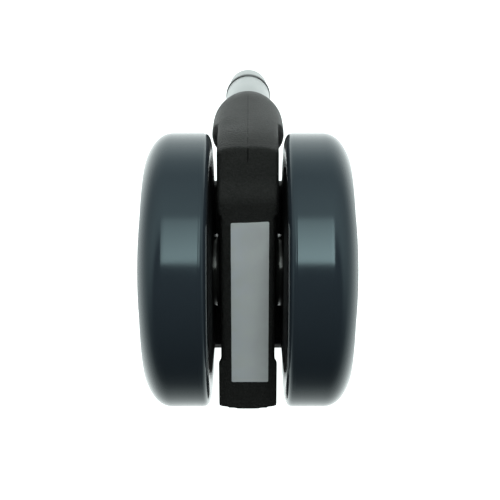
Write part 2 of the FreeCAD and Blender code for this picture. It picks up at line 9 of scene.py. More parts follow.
import bmesh
import bpy
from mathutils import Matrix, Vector


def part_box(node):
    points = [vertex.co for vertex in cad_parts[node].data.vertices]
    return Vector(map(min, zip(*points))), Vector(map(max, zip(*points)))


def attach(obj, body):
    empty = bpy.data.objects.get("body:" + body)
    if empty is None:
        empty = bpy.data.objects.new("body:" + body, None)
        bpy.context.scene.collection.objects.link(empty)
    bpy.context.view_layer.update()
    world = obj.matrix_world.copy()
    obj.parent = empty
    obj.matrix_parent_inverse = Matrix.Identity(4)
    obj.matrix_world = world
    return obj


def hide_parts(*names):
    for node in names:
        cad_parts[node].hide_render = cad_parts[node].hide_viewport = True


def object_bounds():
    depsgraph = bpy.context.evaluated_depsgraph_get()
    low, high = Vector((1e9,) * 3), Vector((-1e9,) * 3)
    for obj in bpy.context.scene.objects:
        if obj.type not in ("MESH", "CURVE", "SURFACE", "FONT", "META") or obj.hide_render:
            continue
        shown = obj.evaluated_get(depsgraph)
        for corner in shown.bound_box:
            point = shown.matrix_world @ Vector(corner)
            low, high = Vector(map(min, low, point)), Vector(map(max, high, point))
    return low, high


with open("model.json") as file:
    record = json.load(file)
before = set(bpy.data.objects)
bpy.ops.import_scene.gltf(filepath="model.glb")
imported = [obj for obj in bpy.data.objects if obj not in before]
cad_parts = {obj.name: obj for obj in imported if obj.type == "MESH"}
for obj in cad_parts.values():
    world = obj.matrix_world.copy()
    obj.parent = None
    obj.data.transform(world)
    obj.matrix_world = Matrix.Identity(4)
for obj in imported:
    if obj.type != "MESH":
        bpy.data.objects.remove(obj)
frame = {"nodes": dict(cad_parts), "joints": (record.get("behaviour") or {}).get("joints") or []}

CAD_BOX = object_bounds()
MM = 0.001
NODES = frame["nodes"]
AXLE = Vector(next(j["pos_m"] for j in frame["joints"] if j["name"] == "right_wheel_spin"))
AXLE.x = 0.0
SIDES = {"left": -1, "right": 1}
TURN_STEPS = 240            # facets round a turned piece
MERGE_DISTANCE = 1e-7       # metres
ARC_STEPS = 6               # facets in a rounded corner
CURVE_STEPS = 18            # facets in a shoulder's curve
SMOOTH_ANGLE = math.radians(32)


# ---- camera, light and floor ----

CAMERA_BACK = Vector((0.0, -0.454, -0.891))    # from the wheels towards the camera
CAMERA_UP = Vector((0.0, CAMERA_BACK.z, -CAMERA_BACK.y))
CAMERA_DISTANCE = 0.222
CAMERA_RISE = 0.0043
CAMERA_SIDE = 0.000465
CAMERA_LENS = 72.2
SENSOR_WIDTH = 36.0
CLIP_NEAR, CLIP_FAR = 0.005, 50.0
FLOOR_DROP = 0.34
FLOOR_HALF = 2.0
FLOOR_DARK = (0.78, 0.78, 0.77, 1)
FLOOR_LIGHT = (0.82, 0.82, 0.82, 1)
FLOOR_ROUGH = 0.8


def camera():
    """Close camera, low in front of the wheels and looking up at the underside."""
    data = bpy.data.cameras.new("camera")
    data.lens = CAMERA_LENS
    data.sensor_width = SENSOR_WIDTH
    data.clip_start = CLIP_NEAR
    data.clip_end = CLIP_FAR
    obj = bpy.data.objects.new("camera", data)
    bpy.context.scene.collection.objects.link(obj)
    obj.location = (AXLE + CAMERA_BACK * CAMERA_DISTANCE + CAMERA_UP * CAMERA_RISE
                    + Vector((CAMERA_SIDE, 0, 0)))
    obj.rotation_mode = "QUATERNION"
    obj.rotation_quaternion = (-CAMERA_BACK).to_track_quat("-Z", "Y")
    bpy.context.scene.camera = obj


class Graph:
    """Short way to write a node tree: each call adds a node and gives back an output."""

    def __init__(self, tree):
        self.tree = tree
        self.tree.nodes.clear()

    def node(self, kind, inputs=(), **settings):
        made = self.tree.nodes.new("ShaderNode" + kind)
        for name, value in settings.items():
            setattr(made, name, value)
        for key, value in dict(inputs).items():
            self.put(made.inputs[key], value)
        return made

    def put(self, socket, value):
        if isinstance(value, bpy.types.NodeSocket):
            self.tree.links.new(value, socket)
        else:
            socket.default_value = value

    def math(self, operation, *values):
        made = self.node("Math", operation=operation)
        for socket, value in zip(made.inputs, values):
            self.put(socket, value)
        return made.outputs[0]

    def vector(self, operation, *values):
        made = self.node("VectorMath", operation=operation)
        for socket, value in zip(made.inputs, values):
            self.put(socket, value)
        return made.outputs["Value" if operation == "DOT_PRODUCT" else "Vector"]

    def spread(self, value, low, high, out_low=0.0, out_high=1.0, smooth=False):
        """The value's range low..high taken to out_low..out_high, and held outside it.

        A low above the high makes a falling ramp.
        """
        kind = "SMOOTHSTEP" if smooth else "LINEAR"
        inputs = {0: value, 1: low, 2: high, 3: out_low, 4: out_high}
        return self.node("MapRange", inputs, interpolation_type=kind, clamp=True).outputs[0]

    def mix(self, share, first, second):
        made = self.node("Mix", data_type="RGBA")
        for name, value in (("Factor_Float", share), ("A_Color", first), ("B_Color", second)):
            socket = next(s for s in made.inputs if s.identifier == name)
            self.put(socket, value)
        return next(s for s in made.outputs if s.identifier == "Result_Color")

    def noise(self, place, scale, detail=3.0, rough=0.5):
        inputs = {"Vector": place, "Scale": scale, "Detail": detail, "Roughness": rough}
        return self.node("TexNoise", inputs).outputs["Fac"]


# How bright the studio is, from each height (the direction's z), in front and behind
FRONT_LIGHT = ((-0.60, 0.04), (-0.40, 0.80), (-0.20, 0.85), (0.10, 0.60), (0.35, 0.45),
               (0.60, 0.70), (0.80, 1.25), (1.00, 1.50))
REAR_LIGHT = ((-0.60, 0.02), (-0.40, 0.06), (-0.18, 0.20), (0.00, 0.55), (0.17, 0.80),
              (0.42, 1.20), (0.70, 1.50), (1.00, 1.60))
FRONT_TO_REAR = (-0.6, 0.6)
LIGHT_TINT = (0.93, 1.0, 0.99, 1.0)
BOX_LOW, BOX_HIGH = 7.0, 41.0           # soft box: degrees above the line to the camera
BOX_END_FADE = 2.4                      # degrees
BOX_HALF = 0.30                         # half width, as the direction's x
BOX_SIDE_FADE = 0.03
BOX_BRIGHT, BOX_DIM = 4.9, 2.2          # at its low and its high end
BOX_TURN = 0.24                         # left and right factors hold from here outwards
BOX_LEFT, BOX_RIGHT = 0.74, 1.5


def stepped(g, value, stops):
    """Straight lines between the stops, as a sum of the steps."""
    total = stops[0][1]
    for (low, dim), (high, bright) in zip(stops, stops[1:]):
        total = g.math("ADD", g.spread(value, low, high, 0.0, bright - dim), total)
    return total


def soft_box(g, direction, across):
    """Share, 0 to 1, of a direction that the soft box fills, and the box's glow there."""
    towards = g.vector("DOT_PRODUCT", direction, CAMERA_BACK)
    above = g.vector("DOT_PRODUCT", direction, CAMERA_UP)
    angle = g.math("DEGREES", g.math("ARCTAN2", above, towards))
    tall = g.math("MULTIPLY", g.spread(angle, BOX_LOW - BOX_END_FADE, BOX_LOW),
                  g.spread(angle, BOX_HIGH + BOX_END_FADE, BOX_HIGH))
    wide = g.math("MULTIPLY", g.spread(across, -BOX_HALF - BOX_SIDE_FADE, -BOX_HALF),
                  g.spread(across, BOX_HALF + BOX_SIDE_FADE, BOX_HALF))
    fall = g.spread(angle, BOX_LOW, BOX_HIGH, BOX_BRIGHT, BOX_DIM)
    sides = g.spread(across, -BOX_TURN, BOX_TURN, BOX_LEFT, BOX_RIGHT)
    return g.math("MULTIPLY", tall, wide), g.math("MULTIPLY", fall, sides)


def studio_light():
    """White room over a dark ground, and one soft box low in front."""
    world = bpy.data.worlds.new("studio")
    bpy.context.scene.world = world
    world.use_nodes = True
    g = Graph(world.node_tree)
    direction = g.node("TexCoord").outputs["Generated"]
    parts = g.node("SeparateXYZ", {0: direction})
    height = parts.outputs["Z"]
    rear_share = g.spread(parts.outputs["Y"], *FRONT_TO_REAR, smooth=True)
    front = stepped(g, height, FRONT_LIGHT)
    rear = stepped(g, height, REAR_LIGHT)
    room = g.math("ADD", g.math("MULTIPLY", rear, rear_share),
                  g.math("MULTIPLY", front, g.math("SUBTRACT", 1.0, rear_share)))
    inside, glow = soft_box(g, direction, parts.outputs["X"])
    light = g.math("ADD", g.math("MULTIPLY", g.math("SUBTRACT", 1.0, inside), room),
                   g.math("MULTIPLY", inside, glow))
    background = g.node("Background", {"Color": LIGHT_TINT, "Strength": light})
    out = g.node("OutputWorld")
    g.put(out.inputs["Surface"], background.outputs[0])


def floor():
    """Plain pale floor, well below the part and the camera."""
    z = CAD_BOX[0].z - FLOOR_DROP
    mesh = bpy.data.meshes.new("floor")
    corners = [(-1, -1), (1, -1), (1, 1), (-1, 1)]
    mesh.from_pydata([(x * FLOOR_HALF, y * FLOOR_HALF, z) for x, y in corners], [],
                     [(0, 1, 2, 3)])
    obj = bpy.data.objects.new("floor", mesh)
    bpy.context.scene.collection.objects.link(obj)
    mat = bpy.data.materials.new("floor_paint")
    mat.use_nodes = True
    g = Graph(mat.node_tree)
    place = g.node("TexCoord").outputs["Object"]
    shade = g.mix(g.noise(place, scale=3.0), FLOOR_DARK, FLOOR_LIGHT)
    shader = g.node("BsdfPrincipled", {"Base Color": shade, "Roughness": FLOOR_ROUGH})
    g.put(g.node("OutputMaterial").inputs["Surface"], shader.outputs[0])
    mesh.materials.append(mat)
    obj.visible_glossy = False
    obj.visible_diffuse = False
    obj.visible_shadow = False


# ---- materials ----

def surface(name, build, **sockets):
    """Material whose varying colour, roughness and bump come from build(graph, place)."""
    mat = bpy.data.materials.new(name)
    mat.use_nodes = True
    g = Graph(mat.node_tree)
    object_place = g.node("TexCoord").outputs["Object"]
    place = g.vector("MULTIPLY", object_place, (1 / MM, 1 / MM, 1 / MM))
    shader = g.node("BsdfPrincipled")
    for key, value in {**sockets, **build(g, place)}.items():
        g.put(shader.inputs[key.replace("_", " ")], value)
    g.put(g.node("OutputMaterial").inputs["Surface"], shader.outputs[0])
    return mat


def bump(g, height, depth_mm):
    """Bump from a height of 0 to 1, that many millimetres deep."""
    inputs = {"Strength": 1.0, "Distance": depth_mm * MM, "Height": height}
    return g.node("Bump", inputs).outputs[0]


def grey(level, tint=(1.0, 1.0, 1.0)):
    return (level * tint[0], level * tint[1], level * tint[2], 1.0)


def uneven(g, cloud, low, high):
    """Value that wanders from low to high with a noise."""
    return g.spread(cloud, 0.3, 0.7, low, high)


COOL = (0.82, 1.02, 1.18)   # tints, as factors of red, green and blue
WARM = (1.0, 1.04, 0.98)
SHEEN_SCALE = 0.12          # noise scales are in waves per millimetre
TONE_SCALE = 0.5
GRAIN_DETAIL, GRAIN_SHARPNESS = 5.0, 0.65
ROUGH_SPREAD = 0.05

TREAD_DARK = (0.024, 0.033, 0.042, 1)
TREAD_LIGHT = (0.031, 0.042, 0.053, 1)
TREAD_REFLECTION = (0.72, 0.96, 1.0, 1.0)
TREAD_ROUGH = (0.10, 0.17)
TREAD_FINE_ROUGH = 0.06
TREAD_FINE_DEPTH = 0.0012


def tread_urethane():
    """Glossy soft polyurethane with a faint unevenness."""
    def build(g, place):
        cloud = g.noise(place, scale=0.05)
        fine = g.noise(place, scale=2.2, detail=4.0, rough=0.6)
        rough = g.math("ADD", uneven(g, cloud, *TREAD_ROUGH),
                       g.math("MULTIPLY", fine, TREAD_FINE_ROUGH))
        return {"Base_Color": g.mix(cloud, TREAD_DARK, TREAD_LIGHT), "Roughness": rough,
                "Normal": bump(g, fine, TREAD_FINE_DEPTH)}
    return surface("tread_urethane", build, IOR=1.5, Specular_Tint=TREAD_REFLECTION)


def textured_plastic(name, level, tint, rough, grain_mm, grain_depth):
    """Satin moulding with a fine spark-eroded texture."""
    def build(g, place):
        grain = g.noise(place, 1.0 / grain_mm, GRAIN_DETAIL, GRAIN_SHARPNESS)
        cloud = g.noise(place, SHEEN_SCALE)
        tone = g.noise(place, TONE_SCALE, detail=4.0)
        roughness = uneven(g, cloud, rough - ROUGH_SPREAD, rough + ROUGH_SPREAD)
        return {"Base_Color": g.mix(tone, grey(level * 0.85, tint), grey(level * 1.2, tint)),
                "Roughness": roughness, "Normal": bump(g, grain, grain_depth)}
    return surface(name, build)


BODY_LEVEL = 0.009
BODY_ROUGH = 0.45
BODY_SHINE = 0.33
BODY_REFLECTION = (0.97, 1.0, 0.96, 1.0)
GRAIN_MM = 0.42             # spark texture of the mould
GRAIN_DEPTH = 0.32
GRAIN_ROUGH = 0.08
PARTING_HALF = 0.14         # half width of the mould's parting line
PARTING_DEPTH = 0.34
PARTING_WANDER = 0.2
PARTING_LEVEL = 0.4         # share of the body's colour that is left in the line
PARTING_DULL = 0.6          # share of its shine that the line loses
PARTING_FRONT = (-4.0, -5.0)    # the line fades in between these places on Y
HUB_REACH = (9.0, 8.3)      # the spigots round the axle are polished inside this radius
HUB_START = (5.9, 6.1)      # and from here outwards along the axle
HUB_ROUGH = 0.13
HUB_SHINE = 0.55


def parting_line(g, place, parts):
    """Share, 0 to 1, of the broken line that the mould's halves leave down the front."""
    drift = g.math("SUBTRACT", g.noise(place, scale=0.3, detail=2.0), 0.5)
    wander = g.math("MULTIPLY", drift, PARTING_WANDER)
    off = g.math("ABSOLUTE", g.math("ADD", parts.outputs["X"], wander))
    ahead = g.spread(parts.outputs["Y"], *PARTING_FRONT)
    broken = g.spread(g.noise(place, scale=0.45, detail=2.0), 0.42, 0.5)
    line = g.math("MULTIPLY", g.spread(off, PARTING_HALF, 0.0), ahead)
    return g.math("MULTIPLY", line, broken)


def polished_hub(g, place, parts):
    """Share, 0 to 1, of the polished spigots round the axle."""
    from_axle = g.vector("SUBTRACT", place, tuple(AXLE / MM))
    round_axle = g.vector("MULTIPLY", from_axle, (0, 1, 1))
    radius = g.node("VectorMath", {0: round_axle}, operation="LENGTH").outputs["Value"]
    outwards = g.math("ABSOLUTE", parts.outputs["X"])
    return g.math("MULTIPLY", g.spread(radius, *HUB_REACH), g.spread(outwards, *HUB_START))


def body_nylon():
    """Satin black moulding: spark texture, uneven sheen and the mould's parting line."""
    def build(g, place):
        parts = g.node("SeparateXYZ", {0: place})
        line = parting_line(g, place, parts)
        hub = polished_hub(g, place, parts)
        rest = g.math("SUBTRACT", 1.0, hub)
        grain = g.noise(place, 1.0 / GRAIN_MM, GRAIN_DETAIL, GRAIN_SHARPNESS)
        tone = g.noise(place, TONE_SCALE, detail=4.0)
        colour = g.mix(tone, grey(BODY_LEVEL * 0.8, WARM), grey(BODY_LEVEL * 1.25, WARM))
        colour = g.mix(line, colour, grey(BODY_LEVEL * PARTING_LEVEL))
        speck = g.spread(grain, 0.35, 0.65, BODY_SHINE * 0.8, BODY_SHINE * 1.2)
        clear = g.math("SUBTRACT", 1.0, g.math("MULTIPLY", line, PARTING_DULL))
        shine = g.math("ADD", g.math("MULTIPLY", g.math("MULTIPLY", speck, clear), rest),
                       g.math("MULTIPLY", hub, HUB_SHINE))
        cloud = g.noise(place, SHEEN_SCALE)
        satin = uneven(g, cloud, BODY_ROUGH - ROUGH_SPREAD, BODY_ROUGH + ROUGH_SPREAD)
        satin = g.math("ADD", satin, g.math("MULTIPLY", grain, GRAIN_ROUGH))
        roughness = g.math("ADD", g.math("MULTIPLY", satin, rest),
                           g.math("MULTIPLY", hub, HUB_ROUGH))
        height = g.math("SUBTRACT", g.math("MULTIPLY", grain, rest),
                        g.math("MULTIPLY", line, PARTING_DEPTH / GRAIN_DEPTH))
        return {"Base_Color": colour, "Roughness": roughness, "Specular_IOR_Level": shine,
                "Normal": bump(g, height, GRAIN_DEPTH)}
    return surface("black_nylon", build, Specular_Tint=BODY_REFLECTION)


FLOW_DEPTH = 0.004


def smooth_plastic(name, level, tint, rough, shine=0.5):
    """Moulding with faint flow marks."""
    def build(g, place):
        flow = g.noise(place, scale=0.25, detail=4.0, rough=0.55)
        ripple = g.noise(place, scale=1.6)
        return {"Base_Color": g.mix(flow, grey(level * 0.9, tint), grey(level * 1.15, tint)),
                "Roughness": uneven(g, flow, rough - 0.03, rough + 0.04),
                "Normal": bump(g, ripple, FLOW_DEPTH)}
    return surface(name, build, Specular_IOR_Level=shine)


LINE_ROUGH = 0.08
LINE_DEPTH = 0.004


def turned_steel(name, level, tint, rough, line_mm):
    """Plated steel with fine lines from turning, along the stem's height."""
    def build(g, place):
        z = g.node("SeparateXYZ", {0: place}).outputs["Z"]
        lines = g.node("TexNoise", {"W": z, "Scale": 1.0 / line_mm, "Detail": 3.0},
                       noise_dimensions="1D").outputs["Fac"]
        cloud = g.noise(place, scale=0.3, detail=4.0)
        colour = g.mix(cloud, grey(level * 0.93, tint), grey(level * 1.05, tint))
        roughness = g.math("ADD", uneven(g, cloud, rough - 0.04, rough + 0.05),
                           g.math("MULTIPLY", lines, LINE_ROUGH))
        return {"Base_Color": colour, "Roughness": roughness,
                "Normal": bump(g, lines, LINE_DEPTH)}
    return surface(name, build, Metallic=1.0)


# The film's grey carries painted light and shade: lighter on the left, darker on the right
LABEL_PAINTED_LIGHT = grey(0.72, (0.93, 1.0, 1.05))
LABEL_PAINTED_SHADE = grey(0.62, (0.97, 1.0, 0.99))
LABEL_CLOUD = grey(0.68, (0.95, 1.01, 1.0))
LABEL_SHADE_ENDS = (-4.0, 5.0)        # places on X where the painted light on the left and the painted shade on the right are reached
LABEL_ROUGH = (0.42, 0.52)
FIBRE_DEPTH = 0.006


def label_film():
    """Blank grey film with painted light and shade, a little darker to the right, and faintly
    cloudy.
    """
    def build(g, place):
        x = g.node("SeparateXYZ", {0: place}).outputs["X"]
        fibre = g.noise(place, scale=3.0, detail=4.0)
        cloud = g.noise(place, scale=0.35, detail=2.0)
        # painted shade: the film's colour darkens from left to right across X
        shaded_film = g.mix(g.spread(x, *LABEL_SHADE_ENDS), LABEL_PAINTED_LIGHT, LABEL_PAINTED_SHADE)
        colour = g.mix(g.spread(cloud, 0.35, 0.65), shaded_film, LABEL_CLOUD)
        return {"Base_Color": colour, "Roughness": uneven(g, fibre, *LABEL_ROUGH),
                "Normal": bump(g, fibre, FIBRE_DEPTH)}
    return surface("label_film", build)


# ---- turned meshes ----

def new_object(name, mesh, material, body, slot, *replaced):
    """Object in the scene that rides on a body and stands for the CAD nodes it replaces."""
    obj = bpy.data.objects.new(name, mesh)
    bpy.context.scene.collection.objects.link(obj)
    mesh.materials.clear()
    mesh.materials.append(material)
    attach(obj, body)
    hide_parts(*replaced)


def smooth_shade(mesh, angle=SMOOTH_ANGLE):
    mesh.shade_smooth()
    mesh.set_sharp_from_angle(angle=angle)


def corner_arc(before, corner, after, radius):
    """Points of the arc that rounds a corner of an outline."""
    into = (Vector(before) - Vector(corner)).normalized()
    out = (Vector(after) - Vector(corner)).normalized()
    half = into.angle(out) / 2
    setback = radius / math.tan(half)
    centre = Vector(corner) + (into + out).normalized() * radius / math.sin(half)
    start = Vector(corner) + into * setback - centre
    end = Vector(corner) + out * setback - centre
    turn = start.angle_signed(end)
    points = []
    for step in range(ARC_STEPS + 1):
        angle = -turn * step / ARC_STEPS
        rotated = Vector((start.x * math.cos(angle) - start.y * math.sin(angle),
                          start.x * math.sin(angle) + start.y * math.cos(angle)))
        points.append(tuple(centre + rotated))
    return points


def rounded_outline(corners):
    """Closed outline from (along, radius) or (along, radius, corner radius) in order."""
    points = []
    for i, corner in enumerate(corners):
        place = corner[:2]
        if len(corner) == 2:
            points.append(place)
            continue
        before = corners[i - 1][:2]
        after = corners[(i + 1) % len(corners)][:2]
        points += corner_arc(before, place, after, corner[2])
    return points


def bezier(start, pull_start, pull_end, end):
    """Points of the curve that leaves start towards its pull and reaches end from its own."""
    points = []
    for step in range(CURVE_STEPS + 1):
        t = step / CURVE_STEPS
        weights = ((1 - t) ** 3, 3 * t * (1 - t) ** 2, 3 * t * t * (1 - t), t ** 3)
        poles = (start, pull_start, pull_end, end)
        points.append(tuple(sum(w * p[k] for w, p in zip(weights, poles)) for k in (0, 1)))
    return points


def turned(name, outline, centre, axis, gap=0.0):
    """Mesh of a closed outline of (along, radius) in mm turned about an axis.

    A gap in degrees leaves the ring open, with flat ends, astride the back of the axis.
    """
    along = Vector(axis)
    first = Vector((0, 0, 1)) if abs(along.x) > 0.5 else Vector((0, 1, 0))
    second = along.cross(first)
    mesh = bpy.data.meshes.new(name)
    bm = bmesh.new()
    whole = gap == 0.0
    rings = []
    for step in range(TURN_STEPS + (0 if whole else 1)):
        angle = math.radians(gap / 2 + (360 - gap) * step / TURN_STEPS)
        out = first * math.cos(angle) + second * math.sin(angle)
        rings.append([bm.verts.new(centre + (along * a + out * r) * MM) for a, r in outline])
    pairs = list(zip(rings, rings[1:]))
    if whole:
        pairs.append((rings[-1], rings[0]))
    count = len(outline)
    for here, there in pairs:
        for i in range(count):
            j = (i + 1) % count
            bm.faces.new((here[i], here[j], there[j], there[i]))
    if not whole:
        bm.faces.new(rings[0])
        bm.faces.new(reversed(rings[-1]))
    bmesh.ops.remove_doubles(bm, verts=bm.verts, dist=MERGE_DISTANCE)
    bmesh.ops.recalc_face_normals(bm, faces=bm.faces)
    bm.to_mesh(mesh)
    bm.free()
    smooth_shade(mesh)
    return mesh


def mirrored(outline, side):
    """The right side's outline, or its mirror for the left."""
    return [(side * along, radius) for along, radius in outline]


def box_mm(node):
    """The node's box relative to the axle's centre, in millimetres."""
    low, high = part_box(node)
    return (low - AXLE) / MM, (high - AXLE) / MM


# ---- wheels ----

CORE_RADIUS = 25.0
CORE_BEVEL_DEPTH = 2.4
CORE_BEVEL_WIDTH = 1.7
TREAD_FLAT = 6.55
INNER_SHOULDER = 1.64
SHOULDER_DROP = 3.1
BAND_STEP = 0.06            # the running band stands this proud of its shoulders
BAND_STEP_WIDTH = 0.12
LIP_ROUND = 0.35
# How far each curve of the tyre's section runs straight on before it bends
CORE_PULL = (0.55, 0.9)
BULGE_PULL = 1.2
SHOULDER_PULL = 0.9
BAND_PULL = 0.95
OUTER_BAND_PULL = 2.9
OUTER_EDGE_PULL = (0.9, 2.6)


def tread_outline():
    """Soft tyre's section, with the fine step that the mould leaves beside the band."""
    low, high = box_mm("tread_right")
    radius, inner, outer = high.z, low.x, high.x
    core = box_mm("wheel_core_right")
    core_in, core_out = core[0].x, core[1].x
    flat_start = inner + INNER_SHOULDER
    flat_end = flat_start + TREAD_FLAT
    bulge = (inner, radius - SHOULDER_DROP)
    start = (core_in, CORE_RADIUS - CORE_BEVEL_DEPTH)
    shoulder = radius - BAND_STEP
    side = bezier(start, (core_in - CORE_PULL[0], CORE_RADIUS - CORE_PULL[1]),
                  (inner, bulge[1] - BULGE_PULL), bulge)
    inner_side = bezier(bulge, (inner, radius - SHOULDER_PULL),
                        (flat_start - BAND_PULL, shoulder),
                        (flat_start - BAND_STEP_WIDTH, shoulder))
    outer_side = bezier((flat_end, radius), (flat_end + OUTER_BAND_PULL, radius),
                        (outer - OUTER_EDGE_PULL[0], CORE_RADIUS + OUTER_EDGE_PULL[1]),
                        (outer, CORE_RADIUS + LIP_ROUND))
    band = [(flat_start, radius), (flat_start + BAND_STEP_WIDTH, radius),
            (flat_end - BAND_STEP_WIDTH, radius), (flat_end, radius)]
    lip = [(outer - LIP_ROUND * 0.4, CORE_RADIUS + LIP_ROUND * 0.1),
           (outer - LIP_ROUND, CORE_RADIUS)]
    back = [(core_out, CORE_RADIUS), (core_in + CORE_BEVEL_WIDTH, CORE_RADIUS)]
    return side + inner_side[1:] + band + outer_side[1:] + lip + back


COVER_RADIUS = 24.7
COVER_EDGE_DROP = 2.5
COVER_WALL = 1.6
COVER_SKIRT = (21.1, 19.9)
GROOVE_RADIUS = 15.4
GROOVE_WIDTH = 0.9
GROOVE_DEPTH = 0.4
GROOVE_STEPS = 8
DISH_RADIUS = 8.2
DISH_DEPTH = 0.5
DISH_SLOPE = 1.2
DISH_STEPS = 8
DISH_FLAT = 3.0             # radius of a ring on the dish's floor
COVER_ROUND = 0.5
ROUND_END = 1.0             # the dome's stations start this far inside the rim
ROUND_AIM = 2.0             # the rim's rounding aims at the dome this far inside it
OUTER_DOME_STEPS, INNER_DOME_STEPS = 14, 10


def cover_groove(dome):
    """Ring groove with a round floor, from its outer lip inwards."""
    points = []
    for step in range(1, GROOVE_STEPS):
        share = step / GROOVE_STEPS
        radius = GROOVE_RADIUS + GROOVE_WIDTH / 2 - GROOVE_WIDTH * share
        points.append((dome(radius) - GROOVE_DEPTH * math.sin(math.pi * share), radius))
    return points


def cover_dish(dome):
    """Eased slope from the dome down to the dish's floor."""
    points = []
    for step in range(1, DISH_STEPS + 1):
        share = step / DISH_STEPS
        ease = share * share * (3 - 2 * share)
        points.append((dome(DISH_RADIUS) - DISH_DEPTH * ease, DISH_RADIUS - DISH_SLOPE * share))
    return points


def cover_outline():
    """Domed cover's section, rim to centre outside and back to its skirt inside."""
    low, high = box_mm("wheel_cover_right")
    rim = box_mm("wheel_core_right")[1].x
    peak, skirt_end = high.x, low.x

    def dome(radius):
        return peak - COVER_EDGE_DROP * (radius / COVER_RADIUS) ** 2

    def sweep(first, last, steps):
        stations = [first + (last - first) * i / steps for i in range(steps + 1)]
        return [(dome(radius), radius) for radius in stations]

    half = GROOVE_WIDTH / 2
    dish = cover_dish(dome)
    floor_x = dish[-1][0]
    rim_arc = corner_arc((rim, COVER_RADIUS), (dome(COVER_RADIUS), COVER_RADIUS),
                         (dome(COVER_RADIUS - ROUND_AIM), COVER_RADIUS - ROUND_AIM),
                         COVER_ROUND)
    inside = floor_x - COVER_WALL
    outer_skirt, inner_skirt = COVER_SKIRT
    return (rim_arc + sweep(COVER_RADIUS - ROUND_END, GROOVE_RADIUS + half, OUTER_DOME_STEPS)
            + cover_groove(dome)
            + sweep(GROOVE_RADIUS - half, DISH_RADIUS, INNER_DOME_STEPS) + dish
            + [(floor_x, DISH_FLAT), (floor_x, 0.0), (inside, 0.0), (inside, DISH_RADIUS),
               (dome(inner_skirt) - COVER_WALL, inner_skirt), (skirt_end, inner_skirt),
               (skirt_end, outer_skirt), (rim, outer_skirt), (rim, COVER_RADIUS)])


GUARD_BORE = 8.0
GUARD_FLAT_RADIUS = 17.8
GUARD_TIP = 0.3
GUARD_BORE_ROUND, GUARD_BEND, GUARD_TIP_ROUND = 0.15, 1.5, 0.1


def guard_outline():
    """Thin disc's section, flat near its bore and drawn to a thin tip at its rim."""
    low, high = box_mm("thread_guard_right")
    middle = (low.x + high.x) / 2
    return rounded_outline([
        (low.x, GUARD_BORE, GUARD_BORE_ROUND), (high.x, GUARD_BORE, GUARD_BORE_ROUND),
        (high.x, GUARD_FLAT_RADIUS, GUARD_BEND),
        (middle + GUARD_TIP / 2, high.z, GUARD_TIP_ROUND),
        (middle - GUARD_TIP / 2, high.z, GUARD_TIP_ROUND),
        (low.x, GUARD_FLAT_RADIUS, GUARD_BEND)])


def wheel_pieces(mats):
    """Tyre, hubcap and guard disc of each side."""
    axis = (1, 0, 0)
    for name, side in SIDES.items():
        body = f"{name}_wheel"
        mesh = turned(f"tyre_{name}", mirrored(tread_outline(), side), AXLE, axis)
        new_object(f"tyre_{name}", mesh, mats["tread"], body, "tread_urethane",
                   f"tread_{name}")
        mesh = turned(f"hubcap_{name}", mirrored(cover_outline(), side), AXLE, axis)
        new_object(f"hubcap_{name}", mesh, mats["cover"], body, "cover_plastic",
                   f"wheel_cover_{name}")
        mesh = turned(f"guard_disc_{name}", mirrored(guard_outline(), side), AXLE, axis)
        new_object(f"guard_disc_{name}", mesh, mats["guard"], "swivel_frame", "guard_nylon",
                   f"thread_guard_{name}")


# ---- stem and ring ----

STEM_RADIUS = 5.5
GROOVE_FLOOR = 4.4
HEAD_RADIUS = 4.95
HEAD_ROUND = 0.9
HEAD_CENTRE = (1.2, 1.0)    # radius and depth of the lathe's centre mark
HEAD_CENTRE_ROUND = 0.15
JOURNAL_RADIUS = 4.0
JOURNAL_CHAMFER = (0.8, 1.6)
JOURNAL_ROUNDS = (0.6, 0.4)
STEM_EDGE = 0.2
RING_PLAY = 0.1             # the ring's play in its groove
STEM_PLAY = 0.1             # the shank's step stands this far above the seat
RING_EDGE, RING_LOW_ROUND, RING_HIGH_ROUND = 0.15, 0.2, 0.3
RING_GAP_DEGREES = 24.5


def stem_pieces(mats):
    """Turned stem and the split ring in its groove."""
    low, high = (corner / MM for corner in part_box("stem"))
    ring_low, ring_high = (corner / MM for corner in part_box("grip_ring"))
    groove = ring_low.z - RING_PLAY
    groove_top = ring_high.z + RING_PLAY
    chamfer, chamfer_height = JOURNAL_CHAMFER
    low_round, high_round = JOURNAL_ROUNDS
    mark_radius, mark_depth = HEAD_CENTRE
    corners = [(low.z, 0.0), (low.z, JOURNAL_RADIUS - chamfer, low_round),
               (low.z + chamfer_height, JOURNAL_RADIUS, high_round),
               (STEM_PLAY, JOURNAL_RADIUS), (STEM_PLAY, STEM_RADIUS, STEM_EDGE),
               (groove, STEM_RADIUS, STEM_EDGE), (groove, GROOVE_FLOOR, STEM_EDGE),
               (groove_top, GROOVE_FLOOR, STEM_EDGE), (groove_top, HEAD_RADIUS, STEM_EDGE),
               (high.z, HEAD_RADIUS, HEAD_ROUND), (high.z, mark_radius, HEAD_CENTRE_ROUND),
               (high.z - mark_depth, 0.0)]
    origin = Vector((0, 0, 0))
    mesh = turned("stem_pin", rounded_outline(corners), origin, (0, 0, 1))
    new_object("stem_pin", mesh, mats["zinc"], "stem_unit", "zinc_steel", "stem")
    outer = ring_high.x
    inner = GROOVE_FLOOR + RING_PLAY
    bevel = outer - HEAD_RADIUS
    corners = [(ring_low.z, inner, RING_EDGE), (ring_low.z, outer, RING_LOW_ROUND),
               (ring_high.z - bevel, outer, RING_HIGH_ROUND),
               (ring_high.z, outer - bevel, RING_EDGE), (ring_high.z, inner, RING_EDGE)]
    mesh = turned("split_ring", rounded_outline(corners), origin, (0, 0, 1),
                  gap=RING_GAP_DEGREES)
    new_object("split_ring", mesh, mats["spring"], "stem_unit", "spring_steel", "grip_ring")


# ---- swivel body ----

BODY_WELD = 0.001
BODY_VOXEL = 0.25
BODY_SMOOTH_STEPS = 8
BODY_SMOOTH_SHARE = 0.5


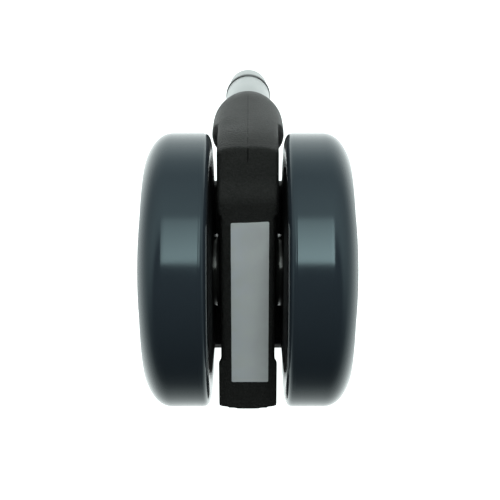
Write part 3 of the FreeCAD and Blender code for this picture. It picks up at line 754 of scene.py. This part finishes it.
def swivel_body_piece(mats):
    """The body's own shape with its edges softened, as a moulding has them."""
    source = NODES["swivel_body"].data.copy()
    draft = bpy.data.objects.new("body_draft", source)
    bpy.context.scene.collection.objects.link(draft)
    weld = draft.modifiers.new("weld", "WELD")
    weld.merge_threshold = BODY_WELD * MM
    remesh = draft.modifiers.new("remesh", "REMESH")
    remesh.mode = "VOXEL"
    remesh.voxel_size = BODY_VOXEL * MM
    remesh.use_smooth_shade = True
    soften = draft.modifiers.new("soften", "SMOOTH")
    soften.factor = BODY_SMOOTH_SHARE
    soften.iterations = BODY_SMOOTH_STEPS
    bpy.context.view_layer.update()
    evaluated = draft.evaluated_get(bpy.context.evaluated_depsgraph_get())
    mesh = bpy.data.meshes.new_from_object(evaluated)
    mesh.name = "moulded_body"
    bpy.data.objects.remove(draft)
    mesh.shade_smooth()
    new_object("moulded_body", mesh, mats["body"], "swivel_frame", "black_nylon",
               "swivel_body")


# ---- label ----

LABEL_COLUMNS, LABEL_ROWS = 40, 150
LABEL_CORNER = 0.18
LABEL_RISE = 0.3            # the right end of the front edge runs this far forward
LABEL_RISE_ACROSS, LABEL_RISE_ALONG = 1.5, 8    # how fast that rise grows and dies away
LABEL_THICKNESS = 0.25
LABEL_WAVE = 0.035
LABEL_SUNK = 1.6            # the waves lie this many of their heights below full thickness
CROSS_WAVE = (3.1 / 4, 2.2, 0.6)        # waves along, across, and where they start
LONG_WAVE = (0.55, 2.0, 0.6)            # waves along, where they start, and their share
LABEL_SMOOTH_ANGLE = math.radians(50)
KEEL_SLOPE = 0.157          # the underside drops towards the tail


def label_wave(reach, u):
    """Height of the film's slight waves, reach mm from its front and a share u across."""
    along, across, start = CROSS_WAVE
    cross = math.sin(along * reach + u) * math.sin(across * u + start)
    long_along, long_start, share = LONG_WAVE
    return LABEL_WAVE * (cross + share * math.sin(long_along * reach + long_start))


def label_place(u, v, width, length):
    """Across, along and forward skew, in mm, at shares u across and v along the film."""
    across = (u - 0.5) * width
    reach = v * length
    edge = min(reach, length - reach)
    if edge < LABEL_CORNER:
        pinch = LABEL_CORNER - math.sqrt(LABEL_CORNER ** 2 - (LABEL_CORNER - edge) ** 2)
        across *= 1 - 2 * pinch / width
    rise = LABEL_RISE * u ** LABEL_RISE_ACROSS * (1 - v) ** LABEL_RISE_ALONG
    return across, reach, rise


def label_layer(bm, axes, width, length, thickness):
    """Rows of vertices of the film's flat back, or of its waved face if it has a thickness."""
    front, along, down = axes
    rows = []
    for row in range(LABEL_ROWS + 1):
        v = row / LABEL_ROWS
        line = []
        for column in range(LABEL_COLUMNS + 1):
            u = column / LABEL_COLUMNS
            across, reach, rise = label_place(u, v, width, length)
            place = 0.0
            if thickness:
                place = thickness - LABEL_WAVE * LABEL_SUNK + label_wave(reach, u)
            point = front + Vector((across, 0, 0)) * MM + along * (reach - rise) * MM
            line.append(bm.verts.new(point + down * place * MM))
        rows.append(line)
    return rows


def rim_of(rows):
    """The vertices round the edge of a layer, in order."""
    return (rows[0][:-1] + [row[-1] for row in rows[:-1]]
            + rows[-1][:0:-1] + [row[0] for row in rows[:0:-1]])


def label_piece(mats):
    """Thin film with rounded corners, a slightly skewed front edge and slight waves."""
    low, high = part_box("underside_label")
    tilt = math.atan(KEEL_SLOPE)
    length = (high.y - low.y) / MM / math.cos(tilt)
    width = (high.x - low.x) / MM
    axes = (Vector(((low.x + high.x) / 2, low.y, high.z)),
            Vector((0, math.cos(tilt), -math.sin(tilt))),
            Vector((0, -math.sin(tilt), -math.cos(tilt))))
    mesh = bpy.data.meshes.new("label_film")
    bm = bmesh.new()
    layers = [label_layer(bm, axes, width, length, thickness)
              for thickness in (0.0, LABEL_THICKNESS)]
    for rows in layers:
        for r in range(LABEL_ROWS):
            for c in range(LABEL_COLUMNS):
                bm.faces.new((rows[r][c], rows[r][c + 1], rows[r + 1][c + 1], rows[r + 1][c]))
    back_rim, face_rim = (rim_of(rows) for rows in layers)
    for i in range(len(back_rim)):
        j = (i + 1) % len(back_rim)
        bm.faces.new((back_rim[i], back_rim[j], face_rim[j], face_rim[i]))
    bmesh.ops.recalc_face_normals(bm, faces=bm.faces)
    bm.to_mesh(mesh)
    bm.free()
    smooth_shade(mesh, LABEL_SMOOTH_ANGLE)
    new_object("label_sticker", mesh, mats["label"], "swivel_frame", "label_film",
               "underside_label")


# ---- CAD pieces that stay ----

KEPT = {
    "core": ["wheel_core_left", "wheel_core_right"],
    "acetal": ["stem_bush", "hub_washer_left", "hub_washer_right",
               "wheel_bush_left", "wheel_bush_right"],
    "spring": ["stem_clip", "axle_clip_left", "axle_clip_right"],
    "zinc": ["thrust_disc", "axle"],
}


def dress_kept_nodes(mats):
    """Give the inner CAD pieces their materials."""
    for key, names in KEPT.items():
        for name in names:
            obj = NODES[name]
            for slot in obj.material_slots:
                slot.material = mats[key]


def main():
    bpy.context.scene.view_settings.view_transform = "Standard"
    camera()
    studio_light()
    floor()
    mats = {
        "tread": tread_urethane(),
        "cover": textured_plastic("cover_plastic", level=0.035, tint=COOL, rough=0.45,
                                  grain_mm=0.25, grain_depth=0.02),
        "core": smooth_plastic("core_nylon", level=0.015, tint=COOL, rough=0.5, shine=0.3),
        "guard": smooth_plastic("guard_nylon", level=0.004, tint=(0.9, 1.0, 1.1), rough=0.6,
                                shine=0.08),
        "body": body_nylon(),
        "zinc": turned_steel("zinc_steel", level=0.43, tint=(0.95, 1.0, 0.99), rough=0.3,
                             line_mm=0.15),
        "spring": turned_steel("spring_steel", level=0.12, tint=(0.95, 1.0, 1.0), rough=0.35,
                               line_mm=0.2),
        "acetal": smooth_plastic("bush_acetal", level=0.6, tint=(1.0, 0.98, 0.94), rough=0.4),
        "label": label_film(),
    }
    wheel_pieces(mats)
    stem_pieces(mats)
    swivel_body_piece(mats)
    label_piece(mats)
    dress_kept_nodes(mats)


main()
